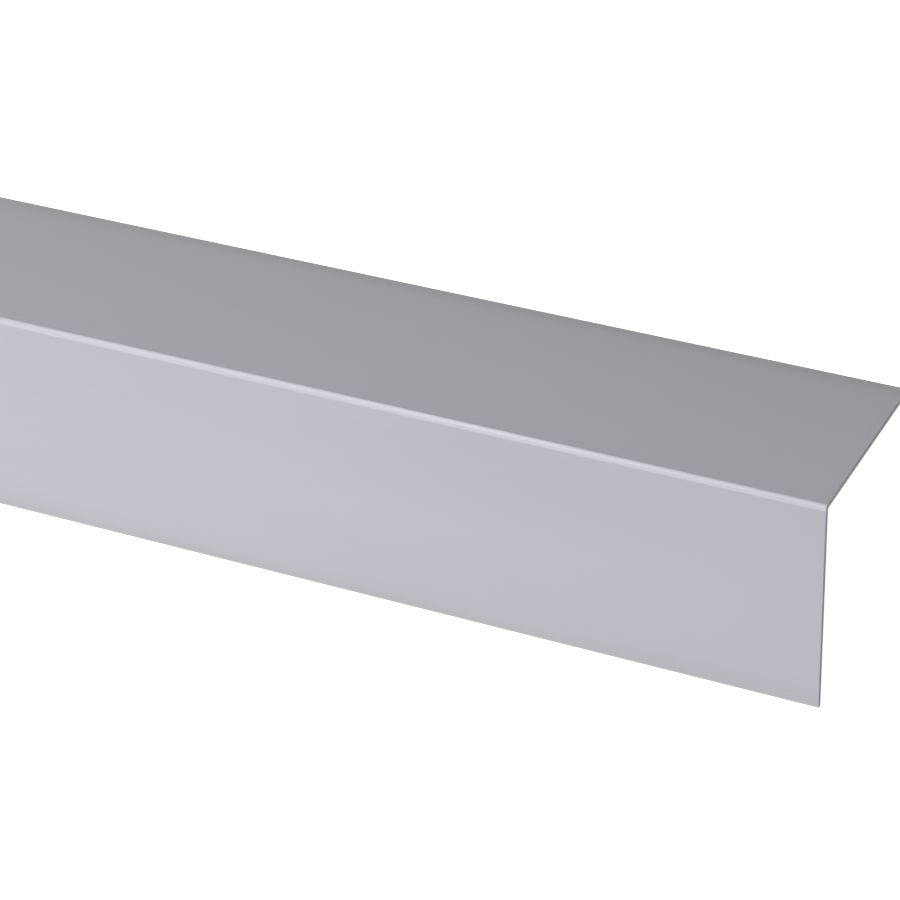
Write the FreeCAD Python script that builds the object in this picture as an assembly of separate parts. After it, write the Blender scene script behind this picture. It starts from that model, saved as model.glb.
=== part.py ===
"""Plastic corner profile: one length of thin extruded PVC angle, sawn square at both ends.

Millimetres. The section has two legs at a right angle, which share one wall thickness. Their outer faces
meet in a rounded corner, and each leg's outer face eases inwards a little towards its rounded tip.

The piece lies as a loose length comes to rest, like a ridge: it stands on the tips of both legs with the
outer corner up. X runs along the length and Z is up, and the origin is on the floor, halfway along the
length and halfway between the tips. The front leg slopes down towards -Y and the rear leg towards +Y.
"""

import FreeCAD, Part
import math
import os

# Driving dimensions
LENGTH = 1000.0              # sawn length
FRONT_LEG = 50.0             # outer corner to the front leg's tip
REAR_LEG = 50.0              # outer corner to the rear leg's tip
WALL = 1.2                   # both legs
OUTER_CORNER_RADIUS = 1.4
INNER_CORNER_RADIUS = 0.4
EASE_LENGTH = 5.0            # stretch next to the tip where the outer face eases inwards
EASE_DROP = 0.2              # how far it has moved inwards at the tip
TIP_RADIUS = 0.35            # rounding of both long edges of a tip

# The ease is an arc tangent to the outer face, and the two roundings leave some flat between them.
EASE_RADIUS = (EASE_LENGTH**2 + EASE_DROP**2) / (2 * EASE_DROP)
TIP_ROUND = min(TIP_RADIUS, 0.45 * (WALL - EASE_DROP))

HALF = math.sqrt(0.5)        # both coordinates of a point at 45 degrees on a unit circle


def rear(along, across):
    """Point of the rear leg: along from the outer corner, across inwards from its outer face."""
    return FreeCAD.Vector(0, along, -across)


def front(along, across):
    """Point of the front leg, which hangs down from the same corner."""
    return FreeCAD.Vector(0, across, -along)


def line(start, end):
    return Part.LineSegment(start, end).toShape()


def arc(start, middle, end):
    return Part.Arc(start, middle, end).toShape()


def outer_tip_across():
    """How far inwards of the outer face the centre of the tip's outer rounding lies.

    The rounding touches the ease arc from inside and the tip's end face.
    """
    reach = EASE_RADIUS - TIP_ROUND
    return EASE_RADIUS - math.sqrt(reach**2 - (EASE_LENGTH - TIP_ROUND)**2)


def leg_edges(leg, length):
    """Edges of one leg, from the end of the outer corner's arc round the tip to the inner corner's arc."""
    ease_start = length - EASE_LENGTH
    round_centre = length - TIP_ROUND
    outer_across = outer_tip_across()
    inner_across = WALL - TIP_ROUND

    def on_ease(angle):
        """Point of the ease arc, with the angle counted from where it leaves the outer face."""
        along = ease_start + EASE_RADIUS * math.sin(angle)
        return leg(along, EASE_RADIUS * (1 - math.cos(angle)))

    def on_outer_round(angle):
        """Point of the tip's outer rounding, with the angle counted from the outer face's normal."""
        along = round_centre + TIP_ROUND * math.sin(angle)
        return leg(along, outer_across - TIP_ROUND * math.cos(angle))

    ease_angle = math.asin((EASE_LENGTH - TIP_ROUND) / (EASE_RADIUS - TIP_ROUND))
    outer_middle = (ease_angle + math.pi / 2) / 2
    corner_end = leg(OUTER_CORNER_RADIUS, 0)
    end_outer = leg(length, outer_across)
    end_inner = leg(length, inner_across)
    inner_middle = leg(round_centre + TIP_ROUND * HALF, inner_across + TIP_ROUND * HALF)
    inner_start = leg(round_centre, WALL)
    inner_end = leg(WALL + INNER_CORNER_RADIUS, WALL)
    return [
        line(corner_end, on_ease(0)),
        arc(on_ease(0), on_ease(ease_angle / 2), on_ease(ease_angle)),
        arc(on_ease(ease_angle), on_outer_round(outer_middle), end_outer),
        line(end_outer, end_inner),
        arc(end_inner, inner_middle, inner_start),
        line(inner_start, inner_end),
    ]


def corner_arc(radius, inset):
    """Quarter arc that joins the two legs' faces at this inset from the outer faces."""
    middle = inset + radius * (1 - HALF)
    return arc(rear(inset + radius, inset), rear(middle, middle), front(inset + radius, inset))


def section():
    """Face of the whole section, with the rear leg level and the front leg hanging down."""
    edges = leg_edges(rear, REAR_LEG) + leg_edges(front, FRONT_LEG)
    edges.append(corner_arc(OUTER_CORNER_RADIUS, 0))
    edges.append(corner_arc(INNER_CORNER_RADIUS, WALL))
    return Part.Face(Part.Wire(Part.__sortEdges__(edges)))


def resting_placement():
    """Turns the section so that both tips touch the floor, and centres it over the origin."""
    turn_down = math.degrees(math.atan2(FRONT_LEG - WALL, REAR_LEG - WALL))
    turn = FreeCAD.Rotation(FreeCAD.Vector(1, 0, 0), -turn_down)
    foot = turn.multVec(rear(REAR_LEG - TIP_ROUND, WALL - TIP_ROUND))
    front_side = turn.multVec(front(FRONT_LEG - TIP_ROUND, outer_tip_across()))
    rear_side = turn.multVec(rear(REAR_LEG - TIP_ROUND, outer_tip_across()))
    shift = FreeCAD.Vector(
        -LENGTH / 2,
        -(front_side.y + rear_side.y) / 2,
        TIP_ROUND - foot.z,
    )
    return FreeCAD.Placement(shift, turn)


def corner_profile():
    """The section pushed along the length, laid on the floor."""
    bar = section().extrude(FreeCAD.Vector(LENGTH, 0, 0))
    bar.Placement = resting_placement()
    return bar


os.makedirs("parts", exist_ok=True)
corner_profile().exportStep("parts/corner_profile.step")
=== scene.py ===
"""Plastic corner profile: a length of silver-grey PVC angle lying on its two tips in a bright studio.

Metres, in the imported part's frame: X along the length, Z up, floor at the part's lowest point. The front
leg slopes down towards -Y and the rear leg towards +Y.
"""

import math

import bpy
import numpy as np
from mathutils import Matrix, Vector


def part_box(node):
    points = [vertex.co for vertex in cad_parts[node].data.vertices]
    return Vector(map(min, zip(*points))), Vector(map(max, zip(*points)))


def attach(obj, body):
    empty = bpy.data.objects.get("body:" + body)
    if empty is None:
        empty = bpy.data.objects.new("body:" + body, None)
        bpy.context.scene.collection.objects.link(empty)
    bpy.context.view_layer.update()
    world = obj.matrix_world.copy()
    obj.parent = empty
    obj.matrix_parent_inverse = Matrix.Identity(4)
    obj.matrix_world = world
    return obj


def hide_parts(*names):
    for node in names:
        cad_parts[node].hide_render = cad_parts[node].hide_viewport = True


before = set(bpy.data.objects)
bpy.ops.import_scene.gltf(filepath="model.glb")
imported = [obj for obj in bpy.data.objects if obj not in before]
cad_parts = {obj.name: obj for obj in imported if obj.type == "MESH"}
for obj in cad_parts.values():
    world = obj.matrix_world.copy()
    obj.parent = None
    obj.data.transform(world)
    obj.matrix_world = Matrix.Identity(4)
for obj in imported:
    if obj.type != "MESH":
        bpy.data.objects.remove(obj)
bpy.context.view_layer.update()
LOW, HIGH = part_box("corner_profile")

MM = 0.001

# Section of the profile
FRONT_LEG = 50.0 * MM            # outer corner to the front leg's tip
REAR_LEG = 50.0 * MM             # outer corner to the rear leg's tip
WALL = 1.2 * MM
OUTER_CORNER_RADIUS = 1.4 * MM
INNER_CORNER_RADIUS = 0.4 * MM
EASE_LENGTH = 5.0 * MM           # stretch next to the tip where the outer face eases inwards
EASE_DROP = 0.2 * MM             # how far it has moved inwards at the tip
TIP_ROUND = 0.35 * MM            # rounding of both long edges of a tip
SAWN_ROUND = 0.12 * MM           # the sawn ends' edges are only broken, not rounded over

# How finely each stretch of the surface is divided
FLAT_STRIPS = 24
EASE_STRIPS = 10
TIP_STRIPS = 8
CORNER_STRIPS = 20
LENGTH_STRIPS = 160
SAWN_STRIPS = 4

# Finish
PVC_COLOUR = "#b8b7bf"
PVC_IOR = 1.53
PVC_ROUGHNESS = 0.38
PVC_FLAKE = 0.15                 # share of the face that is aluminium flake in the colouring
NOISE_SWING = (0.3, 0.7)         # the noise seldom leaves this part of 0 to 1
NOISE_ROUGHNESS = 0.55           # how strong each finer layer of noise is against the one before
DIE_LINE_LENGTH = 240.0          # mm; real die lines run for a metre or more and fade in and out
DIE_LINE_WIDTH = 0.9             # mm; a real one is 0.1 to 0.3 wide, drawn coarser so that it shows
LINE_DETAIL = 2.0                # layers of finer noise on top of the first
LINE_DEPTH = 0.0012 * MM
LINE_TONE = 0.006
LINE_ROUGHNESS = 0.02
GRAIN = 0.45                     # mm; the real grain is about 0.1, drawn coarser so that it shows
GRAIN_DETAIL = 1.0
GRAIN_DEPTH = 0.0025 * MM
CLOUD_LENGTH = 90.0              # mm
CLOUD_WIDTH = 30.0               # mm
CLOUD_DETAIL = 2.0
CLOUD_TONE = 0.012
CLOUD_ROUGHNESS = 0.02
TIP_PAINTED_SHADE_BAND = 6.0 * MM             # stretch at each tip where the colour is painted darker, a painted shade
FRONT_TIP_PAINTED_SHADE = 0.03
REAR_TIP_PAINTED_SHADE = 0.13            # painted shade at the rear tip, stronger than at the front; the inner faces carry this painted shade too
CORNER_RUB_AND_HIGHLIGHT_BAND = 1.5 * MM           # stretch on each side of the corner that the sizing jaw rubs, which also carries a painted highlight
CORNER_FLAKE = 0.15              # more of the flake shows there
CORNER_ROUGHNESS = 0.05          # the rubbing leaves it a little less smooth
CORNER_PAINTED_HIGHLIGHT = 0.06               # painted highlight: the colour there is painted a little paler
FRONT_PAINTED_SHADE = 0.05               # painted shade: the front leg's colour is darkened by this much towards the corner
FRONT_PAINTED_SHADE_START = 22.5 * MM    # from the front tip
REAR_PAINTED_SHADE = 0.06                # painted shade: the rear leg's colour is darkened by this much towards its tip
REAR_PAINTED_SHADE_START = 5.0 * MM      # from the corner
SAWN_COLOUR = "#bbbac0"
SAWN_ROUGHNESS = 0.62
SAW_PITCH = 0.5 * MM             # between the blade's arcs
SAW_DEPTH = 0.02 * MM
SAW_VALLEY_PAINTED_SHADE = 0.14                 # how much darker the arcs' valleys are painted, a painted shade in their hollows
SAW_SMEAR = 4.0 * MM             # size of the patches where the arcs waver
SMEAR_DETAIL = 3.0
SAW_AXLE = (0.0, -0.09, 0.13)    # centre of the blade that cut the ends

# Studio
FLOOR_COLOUR = "#e8e8e8"
FLOOR_ROUGHNESS = 0.9
FLOOR_GLOW = 0.9
FLOOR_HALF_SIZE = 40.0
AMBIENT = 0.13
AIM_FROM_NEAR_END = 83.3 * MM    # along the length
AIM_DOWN_LEG = 7.15 * MM         # from the sharp outer corner down the front leg's face
CAMERA_DISTANCE = 0.7314
CAMERA_AZIMUTH = 66.36           # degrees from -Y towards +X
CAMERA_ELEVATION = 65.89
CAMERA_ROLL = 51.41              # degrees
CAMERA_LENS = 139.6              # millimetres
CAMERA_SENSOR = 36.0             # millimetres wide


# ---------------------------------------------------------------- shape

def outer_side(leg):
    """Outer face of one leg, from the corner's arc to the tip's end: a straight, then an arc that bends
    inwards from it, then a small quarter round. Returns points and outward normals, each as two
    columns: along the leg from the outer corner, and inwards across the wall."""
    ease_radius = (EASE_LENGTH**2 + EASE_DROP**2) / (2 * EASE_DROP)
    ease_angle = math.asin((EASE_LENGTH - TIP_ROUND) / (ease_radius - TIP_ROUND))
    reach = ease_radius - TIP_ROUND
    round_across = ease_radius - math.sqrt(reach**2 - (EASE_LENGTH - TIP_ROUND)**2)
    straight = np.linspace(OUTER_CORNER_RADIUS, leg - EASE_LENGTH, FLAT_STRIPS + 1)
    ease = np.linspace(0, ease_angle, EASE_STRIPS + 1)[1:]
    tip = np.linspace(ease_angle, math.pi / 2, TIP_STRIPS + 1)[1:]
    along = np.concatenate([
        straight,
        leg - EASE_LENGTH + ease_radius * np.sin(ease),
        leg - TIP_ROUND + TIP_ROUND * np.sin(tip),
    ])
    across = np.concatenate([
        0 * straight,
        ease_radius * (1 - np.cos(ease)),
        round_across - TIP_ROUND * np.cos(tip),
    ])
    turn = np.concatenate([0 * straight, ease, tip])
    return np.stack([along, across], 1), np.stack([np.sin(turn), -np.cos(turn)], 1)


def inner_side(leg):
    """Inner face of one leg, from the inner corner's arc to the tip's end: a straight and a small quarter
    round, with as many points as the outer side. Returns points and outward normals as it does."""
    straight = np.linspace(WALL + INNER_CORNER_RADIUS, leg - TIP_ROUND, FLAT_STRIPS + EASE_STRIPS + 1)
    tip = np.linspace(0, math.pi / 2, TIP_STRIPS + 1)[1:]
    along = np.concatenate([straight, leg - TIP_ROUND + TIP_ROUND * np.sin(tip)])
    across = np.concatenate([WALL + 0 * straight, WALL - TIP_ROUND + TIP_ROUND * np.cos(tip)])
    turn = np.concatenate([0 * straight, tip])
    return np.stack([along, across], 1), np.stack([np.sin(turn), np.cos(turn)], 1)


def corner_arc(radius, inset, facing):
    """Quarter circle that joins the faces lying this far in from the outer faces, from the front leg to
    the rear leg, without its two end points. The centre is one radius in from both faces. Returns
    points and outward normals in the level section's Y and Z: the normals point away from the centre
    where facing is 1 and towards it where facing is -1."""
    turn = np.linspace(math.pi, math.pi / 2, CORNER_STRIPS + 1)[1:-1]
    out = np.stack([np.cos(turn), np.sin(turn)], 1)
    return np.array([inset + radius, -inset - radius]) + radius * out, facing * out


def on_front(pairs):
    """(along, across) of the front leg, which hangs down, as the level section's Y and Z."""
    return np.stack([pairs[:, 1], -pairs[:, 0]], 1)


def on_rear(pairs):
    """(along, across) of the rear leg, which is level, as the level section's Y and Z."""
    return np.stack([pairs[:, 0], -pairs[:, 1]], 1)


def face_path(side, radius, inset, facing):
    """One face of the section from the front tip over the corner to the rear tip, points and normals."""
    front_points, front_normals = side(FRONT_LEG)
    rear_points, rear_normals = side(REAR_LEG)
    arc_points, arc_normals = corner_arc(radius, inset, facing)
    points = np.concatenate([on_front(front_points)[::-1], arc_points, on_rear(rear_points)])
    normals = np.concatenate([on_front(front_normals)[::-1], arc_normals, on_rear(rear_normals)])
    return points, normals


def section():
    """Closed outline of the section as it rests on both tips: over the outer faces from the front tip to
    the rear tip and back along the inner faces. The level section is turned about X until both tips
    touch the floor and is then put midway between the box's sides. Returns points and normals in Y, Z."""
    outer_points, outer_normals = face_path(outer_side, OUTER_CORNER_RADIUS, 0, 1)
    inner_points, inner_normals = face_path(inner_side, INNER_CORNER_RADIUS, WALL, -1)
    points = np.concatenate([outer_points, inner_points[::-1]])
    normals = np.concatenate([outer_normals, inner_normals[::-1]])
    turn_down = -math.atan2(FRONT_LEG - WALL, REAR_LEG - WALL)
    spin = np.array([
        [math.cos(turn_down), math.sin(turn_down)],
        [-math.sin(turn_down), math.cos(turn_down)],
    ])
    points = points @ spin
    normals = normals @ spin
    middle = (points.max(0) + points.min(0)) / 2
    points += [(LOW.y + HIGH.y) / 2 - middle[0], LOW.z - points[:, 1].min()]
    # The box is measured on facets, which cut a few thousandths of a millimetre off the corner's crest.
    points[:, 1] = np.minimum(points[:, 1], HIGH.z)
    return points, normals


def stations():
    """Places along the length where the section is repeated: a quarter round at each sawn edge and even
    steps between. Returns each one's X, how far the section is drawn in there, and how much of the
    surface's normal points out along X and how much out of the section."""
    turn = np.linspace(0, math.pi / 2, SAWN_STRIPS + 1)
    run = np.linspace(LOW.x + SAWN_ROUND, HIGH.x - SAWN_ROUND, LENGTH_STRIPS + 1)[1:-1]
    near = SAWN_ROUND * (1 - np.sin(turn))
    x = np.concatenate([
        LOW.x + SAWN_ROUND * (1 - np.cos(turn)),
        run,
        HIGH.x - SAWN_ROUND * (1 - np.cos(turn))[::-1],
    ])
    drawn_in = np.concatenate([near, 0 * run, near[::-1]])
    end_share = np.concatenate([-np.cos(turn), 0 * run, np.cos(turn)[::-1]])
    side_share = np.concatenate([np.sin(turn), 1 + 0 * run, np.sin(turn)[::-1]])
    return x, drawn_in, end_share, side_share


def profile_piece():
    """The section carried along X, with both sawn ends closed by strips that cross the wall."""
    outline, normals = section()
    x, drawn_in, end_share, side_share = stations()
    rows, columns = len(x), len(outline)
    points = np.empty((rows, columns, 3))
    points[..., 0] = x[:, None]
    points[..., 1:] = outline[None] - drawn_in[:, None, None] * normals[None]
    out = np.empty((rows, columns, 3))
    out[..., 0] = end_share[:, None]
    out[..., 1:] = side_share[:, None, None] * normals[None]

    row, column = np.meshgrid(np.arange(rows - 1), np.arange(columns), indexing="ij")
    after = (column + 1) % columns
    side_faces = np.stack([
        row * columns + column,
        (row + 1) * columns + column,
        (row + 1) * columns + after,
        row * columns + after,
    ], -1).reshape(-1, 4)
    half = columns // 2
    step = np.arange(half - 1)
    across = np.stack([step, step + 1, columns - 2 - step, columns - 1 - step], -1)
    far_end = across
    near_end = across[:, ::-1] + (rows - 1) * columns
    faces = np.concatenate([side_faces, far_end, near_end])

    mesh = bpy.data.meshes.new("corner_profile_skin")
    mesh.from_pydata(points.reshape(-1, 3), [], faces)
    mesh.update()

    # Wrap map in metres: along the length, and round the section counted from the front tip's end.
    length = np.linalg.norm(np.roll(outline, -1, 0) - outline, axis=1)
    travelled = np.concatenate([[0], np.cumsum(length)])
    side_v = np.stack([travelled[column + step] for step in (0, 0, 1, 1)], -1)
    side_u = np.stack([x[row + step] for step in (0, 1, 1, 0)], -1)
    side_uv = np.stack([side_u, side_v], -1).reshape(-1, 2)
    end_uv = points.reshape(-1, 3)[faces[len(side_faces):].ravel()][:, 1:]
    wrap = mesh.uv_layers.new(name="wrap")
    wrap.uv.foreach_set("vector", np.concatenate([side_uv, end_uv]).astype(np.float32).ravel())

    is_end = np.zeros(len(faces), np.int32)
    is_end[len(side_faces):] = 1
    mesh.polygons.foreach_set("material_index", is_end)
    mesh.shade_smooth()
    mesh.normals_split_custom_set_from_vertices(out.reshape(-1, 3))
    piece = bpy.data.objects.new("corner_profile_skin", mesh)
    bpy.context.scene.collection.objects.link(piece)
    return piece, travelled[half // 2]


# ---------------------------------------------------------------- materials

def linear(hex_colour):
    """Linear RGBA of an sRGB hex colour."""
    shares = [int(hex_colour[i:i + 2], 16) / 255 for i in (1, 3, 5)]
    return (*[s / 12.92 if s <= 0.04045 else ((s + 0.055) / 1.055)**2.4 for s in shares], 1.0)


def add(tree, kind, inputs=None, **settings):
    """Adds one node: settings are its own properties, and each input is a value or a socket to link."""
    made = tree.nodes.new(kind)
    for name, value in settings.items():
        setattr(made, name, value)
    for name, value in (inputs or {}).items():
        if isinstance(value, bpy.types.NodeSocket):
            tree.links.new(value, made.inputs[name])
        else:
            made.inputs[name].default_value = value
    return made


def new_material(name):
    """Node material of this name with an empty tree."""
    material = bpy.data.materials.new(name)
    material.use_nodes = True
    material.node_tree.nodes.clear()
    return material


def per_metre(along_mm, round_mm):
    """Mapping scale that makes one unit of a pattern this long and this wide on the wrap map, in mm."""
    return (1 / (along_mm * MM), 1 / (round_mm * MM), 1.0)


def extruded_pvc(tip_to_corner):
    """Rigid PVC coloured silver-grey in the mass, drawn through a die and cooled in a sizing jaw.

    What the eye gets: an even satin face with faint die lines along the length, a fine grain that
    breaks up reflections, slow clouds of tone where the melt was hotter, and a corner that the jaw has
    rubbed until more of the flake shows. Painted on top: a paler band along the corner as a painted
    highlight, painted shade darker towards both tips and over the inner faces, and painted shade across
    each leg, the front leg darker towards the corner and the rear leg darker towards its tip.
    """
    material = new_material("extruded_silver_grey_pvc")
    tree = material.node_tree
    wrap = add(tree, "ShaderNodeUVMap", uv_map="wrap").outputs["UV"]

    patterns = []
    for along_mm, round_mm, detail in (
        (DIE_LINE_LENGTH, DIE_LINE_WIDTH, LINE_DETAIL),
        (GRAIN, GRAIN, GRAIN_DETAIL),
        (CLOUD_LENGTH, CLOUD_WIDTH, CLOUD_DETAIL),
    ):
        place = add(tree, "ShaderNodeMapping", {
            "Vector": wrap,
            "Scale": per_metre(along_mm, round_mm),
        })
        noise = add(tree, "ShaderNodeTexNoise", {
            "Vector": place.outputs["Vector"],
            "Scale": 1.0,
            "Detail": detail,
            "Roughness": NOISE_ROUGHNESS,
        })
        patterns.append(noise.outputs["Fac"])
    die_lines, grain, clouds = patterns

    # How far round the section a point is, from the front tip and from the outer corner, in metres.
    from_tip = add(tree, "ShaderNodeSeparateXYZ", {"Vector": wrap}).outputs["Y"]
    past_corner = add(tree, "ShaderNodeMath", {
        0: from_tip,
        1: tip_to_corner,
    }, operation="SUBTRACT").outputs[0]
    from_corner = add(tree, "ShaderNodeMath", {0: past_corner}, operation="ABSOLUTE").outputs[0]

    # Each row raises or lowers one property: what it reads, where it starts and ends, what it adds there.
    looks = {"tone": 1.0, "roughness": PVC_ROUGHNESS, "flake": PVC_FLAKE}
    for look, read, start, end, at_start, at_end in (
        ("tone", clouds, *NOISE_SWING, -CLOUD_TONE, CLOUD_TONE),
        ("tone", die_lines, *NOISE_SWING, -LINE_TONE, LINE_TONE),
        # painted shade: darker towards the front tip
        ("tone", from_tip, 0.0, TIP_PAINTED_SHADE_BAND, -FRONT_TIP_PAINTED_SHADE, 0.0),
        # painted shade: darker towards the rear tip and, past it, over the inner faces
        ("tone", past_corner, tip_to_corner - TIP_PAINTED_SHADE_BAND, tip_to_corner, 0.0, -REAR_TIP_PAINTED_SHADE),
        # painted shade: the front leg darker towards the corner
        ("tone", from_tip, FRONT_PAINTED_SHADE_START, tip_to_corner, 0.0, -FRONT_PAINTED_SHADE),
        # painted highlight: paler along the corner
        ("tone", from_corner, CORNER_RUB_AND_HIGHLIGHT_BAND / 2, CORNER_RUB_AND_HIGHLIGHT_BAND, CORNER_PAINTED_HIGHLIGHT, 0.0),
        # the front leg's painted shade is taken back off across the corner
        ("tone", past_corner, -CORNER_RUB_AND_HIGHLIGHT_BAND / 2, CORNER_RUB_AND_HIGHLIGHT_BAND / 2, 0.0, FRONT_PAINTED_SHADE),
        # painted shade: the rear leg darker towards its tip, and over the inner faces past it
        ("tone", past_corner, REAR_PAINTED_SHADE_START, tip_to_corner, 0.0, -REAR_PAINTED_SHADE),
        ("roughness", clouds, *NOISE_SWING, -CLOUD_ROUGHNESS, CLOUD_ROUGHNESS),
        ("roughness", die_lines, *NOISE_SWING, -LINE_ROUGHNESS, LINE_ROUGHNESS),
        ("roughness", from_corner, CORNER_RUB_AND_HIGHLIGHT_BAND / 2, CORNER_RUB_AND_HIGHLIGHT_BAND, CORNER_ROUGHNESS, 0.0),
        ("flake", from_corner, CORNER_RUB_AND_HIGHLIGHT_BAND / 2, CORNER_RUB_AND_HIGHLIGHT_BAND, CORNER_FLAKE, 0.0),
    ):
        change = add(tree, "ShaderNodeMapRange", {
            "Value": read,
            "From Min": start,
            "From Max": end,
            "To Min": at_start,
            "To Max": at_end,
        }, interpolation_type="SMOOTHSTEP")
        total = add(tree, "ShaderNodeMath", {
            0: looks[look],
            1: change.outputs["Result"],
        }, operation="ADD")
        looks[look] = total.outputs[0]

    colour = add(tree, "ShaderNodeVectorMath", {
        0: linear(PVC_COLOUR)[:3],
        "Scale": looks["tone"],
    }, operation="SCALE")
    lines_bump = add(tree, "ShaderNodeBump", {
        "Height": die_lines,
        "Distance": LINE_DEPTH,
        "Strength": 1.0,
    })
    grain_bump = add(tree, "ShaderNodeBump", {
        "Height": grain,
        "Distance": GRAIN_DEPTH,
        "Strength": 1.0,
        "Normal": lines_bump.outputs["Normal"],
    })
    shader = add(tree, "ShaderNodeBsdfPrincipled", {
        "Base Color": colour.outputs["Vector"],
        "Metallic": looks["flake"],
        "Roughness": looks["roughness"],
        "IOR": PVC_IOR,
        "Normal": grain_bump.outputs["Normal"],
    })
    add(tree, "ShaderNodeOutputMaterial", {"Surface": shader.outputs["BSDF"]})
    return material


def sawn_pvc():
    """The same PVC where a circular saw cut it: duller, a little darker, with the blade's arcs and painted
    shade in their valleys.
    """
    material = new_material("sawn_silver_grey_pvc")
    tree = material.node_tree
    place = add(tree, "ShaderNodeTexCoord").outputs["Object"]
    in_plane = add(tree, "ShaderNodeVectorMath", {0: place, 1: (0.0, 1.0, 1.0)}, operation="MULTIPLY")
    from_axle = add(tree, "ShaderNodeVectorMath", {
        0: in_plane.outputs["Vector"],
        1: SAW_AXLE,
    }, operation="DISTANCE")
    smear = add(tree, "ShaderNodeTexNoise", {
        "Vector": place,
        "Scale": 1 / SAW_SMEAR,
        "Detail": SMEAR_DETAIL,
    })
    wobble = add(tree, "ShaderNodeMath", {
        0: smear.outputs["Fac"],
        1: SAW_PITCH,
    }, operation="MULTIPLY")
    reach = add(tree, "ShaderNodeMath", {
        0: from_axle.outputs["Value"],
        1: wobble.outputs[0],
    }, operation="ADD")
    phase = add(tree, "ShaderNodeMath", {
        0: reach.outputs[0],
        1: 2 * math.pi / SAW_PITCH,
    }, operation="MULTIPLY")
    arcs = add(tree, "ShaderNodeMath", {0: phase.outputs[0]}, operation="SINE")
    # painted shade: the colour follows the arcs' height, darker in their valleys
    tone = add(tree, "ShaderNodeMapRange", {
        "Value": arcs.outputs[0],
        "From Min": -1.0,
        "From Max": 1.0,
        "To Min": 1.0 - SAW_VALLEY_PAINTED_SHADE,
        "To Max": 1.0,
    })
    colour = add(tree, "ShaderNodeVectorMath", {
        0: linear(SAWN_COLOUR)[:3],
        "Scale": tone.outputs["Result"],
    }, operation="SCALE")
    bump = add(tree, "ShaderNodeBump", {
        "Height": arcs.outputs[0],
        "Distance": SAW_DEPTH,
        "Strength": 1.0,
    })
    shader = add(tree, "ShaderNodeBsdfPrincipled", {
        "Base Color": colour.outputs["Vector"],
        "Roughness": SAWN_ROUGHNESS,
        "IOR": PVC_IOR,
        "Normal": bump.outputs["Normal"],
    })
    add(tree, "ShaderNodeOutputMaterial", {"Surface": shader.outputs["BSDF"]})
    return material


def studio_floor():
    """White matt table. Its own faint glow, as of an acrylic top lit from below, is for the eye only, so
    that it lightens the part's shadow without lighting the part."""
    material = new_material("white_studio_floor")
    tree = material.node_tree
    path = add(tree, "ShaderNodeLightPath")
    glow = add(tree, "ShaderNodeMath", {
        0: path.outputs["Is Camera Ray"],
        1: FLOOR_GLOW,
    }, operation="MULTIPLY")
    shader = add(tree, "ShaderNodeBsdfPrincipled", {
        "Base Color": linear(FLOOR_COLOUR),
        "Roughness": FLOOR_ROUGHNESS,
        "Emission Color": linear("#ffffff"),
        "Emission Strength": glow.outputs[0],
    })
    add(tree, "ShaderNodeOutputMaterial", {"Surface": shader.outputs["BSDF"]})
    return material


# ---------------------------------------------------------------- studio

def direction(azimuth, elevation):
    """Unit vector at this azimuth, from -Y towards +X, and elevation, both in degrees."""
    a, e = math.radians(azimuth), math.radians(elevation)
    return Vector((math.sin(a) * math.cos(e), -math.cos(a) * math.cos(e), math.sin(e)))


def sharp_corner_height():
    """Height of the point where the two outer faces would meet without the corner's rounding."""
    return HIGH.z + OUTER_CORNER_RADIUS * (math.sqrt(2) - 1)


def set_camera():
    """Camera that looks down on the near end and is rolled until the front leg hangs plumb in its view."""
    down = AIM_DOWN_LEG * math.sqrt(0.5)
    aim = Vector((HIGH.x - AIM_FROM_NEAR_END, (LOW.y + HIGH.y) / 2 - down, sharp_corner_height() - down))
    back = direction(CAMERA_AZIMUTH, CAMERA_ELEVATION)
    data = bpy.data.cameras.new("camera")
    data.lens = CAMERA_LENS
    data.sensor_width = CAMERA_SENSOR
    camera = bpy.data.objects.new("camera", data)
    upright = (-back).to_track_quat("-Z", "Y").to_matrix().to_4x4()
    roll = Matrix.Rotation(math.radians(-CAMERA_ROLL), 4, "Z")
    camera.matrix_world = Matrix.Translation(aim + back * CAMERA_DISTANCE) @ upright @ roll
    bpy.context.scene.collection.objects.link(camera)
    bpy.context.scene.camera = camera


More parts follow.
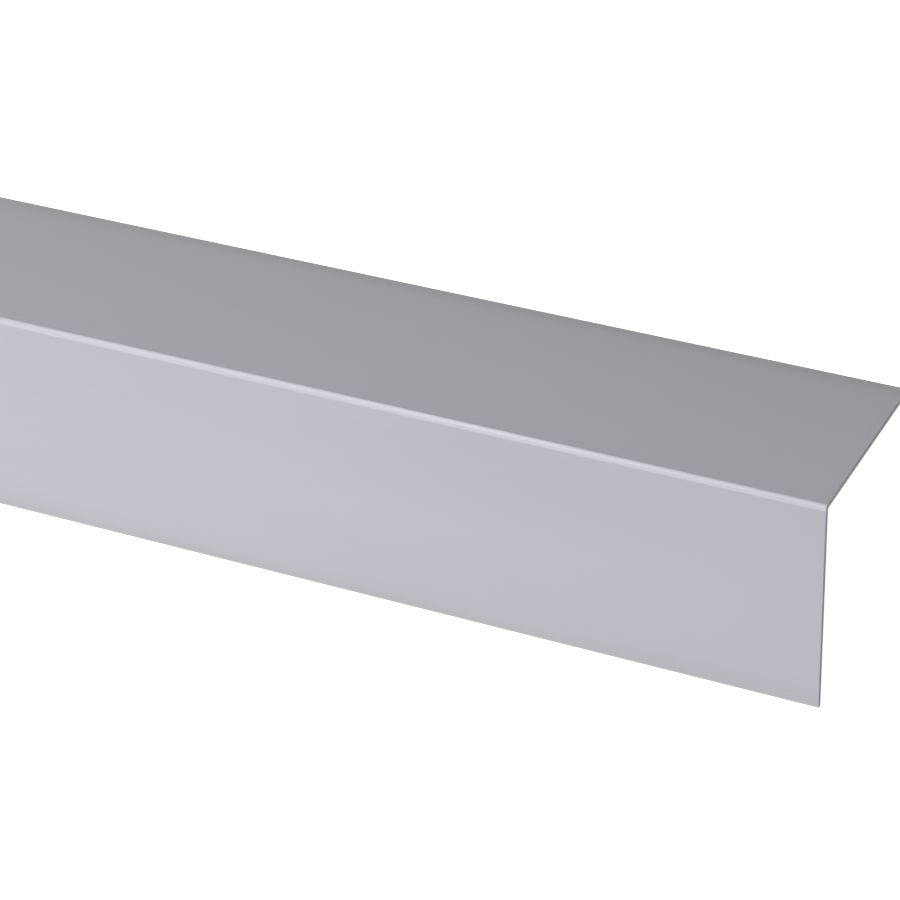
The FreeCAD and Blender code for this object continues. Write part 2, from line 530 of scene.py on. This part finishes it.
def add_floor():
    """Level square at the height of the part's lowest point. It is staging and not part of the model."""
    size = FLOOR_HALF_SIZE
    mesh = bpy.data.meshes.new("floor")
    corners = [(-size, -size, LOW.z), (size, -size, LOW.z), (size, size, LOW.z), (-size, size, LOW.z)]
    mesh.from_pydata(corners, [], [(0, 1, 2, 3)])
    mesh.materials.append(studio_floor())
    floor = bpy.data.objects.new("floor", mesh)
    bpy.context.scene.collection.objects.link(floor)


def softbox(name, azimuth, elevation, distance, side, watts):
    """Square soft light turned towards the middle of the part and hidden from the camera."""
    data = bpy.data.lights.new(name, "AREA")
    data.size = side
    data.energy = watts
    light = bpy.data.objects.new(name, data)
    back = direction(azimuth, elevation)
    place = Matrix.Translation(back * distance) @ (-back).to_track_quat("-Z", "Y").to_matrix().to_4x4()
    light.matrix_world = place
    light.visible_camera = False
    bpy.context.scene.collection.objects.link(light)


def set_world(strength):
    """Even light from all round, with a white backdrop for the eye."""
    world = bpy.data.worlds.new("studio")
    world.use_nodes = True
    tree = world.node_tree
    tree.nodes.clear()
    path = add(tree, "ShaderNodeLightPath")
    seen = add(tree, "ShaderNodeMapRange", {
        "Value": path.outputs["Is Camera Ray"],
        "To Min": strength,
        "To Max": 1.0,
    })
    background = add(tree, "ShaderNodeBackground", {
        "Color": linear("#ffffff"),
        "Strength": seen.outputs["Result"],
    })
    add(tree, "ShaderNodeOutputWorld", {"Surface": background.outputs["Background"]})
    bpy.context.scene.world = world


set_camera()
bpy.context.scene.view_settings.view_transform = "Standard"
add_floor()
set_world(AMBIENT)
# Two large boxes light the front leg. Two small ones near the part light the corner's arc and the rear leg.
softbox("key", azimuth=-40, elevation=35, distance=3.5, side=3.6, watts=80.0)
softbox("fill", azimuth=25, elevation=36, distance=3.5, side=3.6, watts=42.0)
softbox("corner_high", azimuth=-131, elevation=84, distance=1.44, side=0.5, watts=7.7)
softbox("corner_back", azimuth=-168, elevation=50, distance=1.51, side=0.53, watts=5.6)

skin, tip_to_corner = profile_piece()
skin.data.materials.append(extruded_pvc(tip_to_corner))
skin.data.materials.append(sawn_pvc())
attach(skin, "root")
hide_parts("corner_profile")
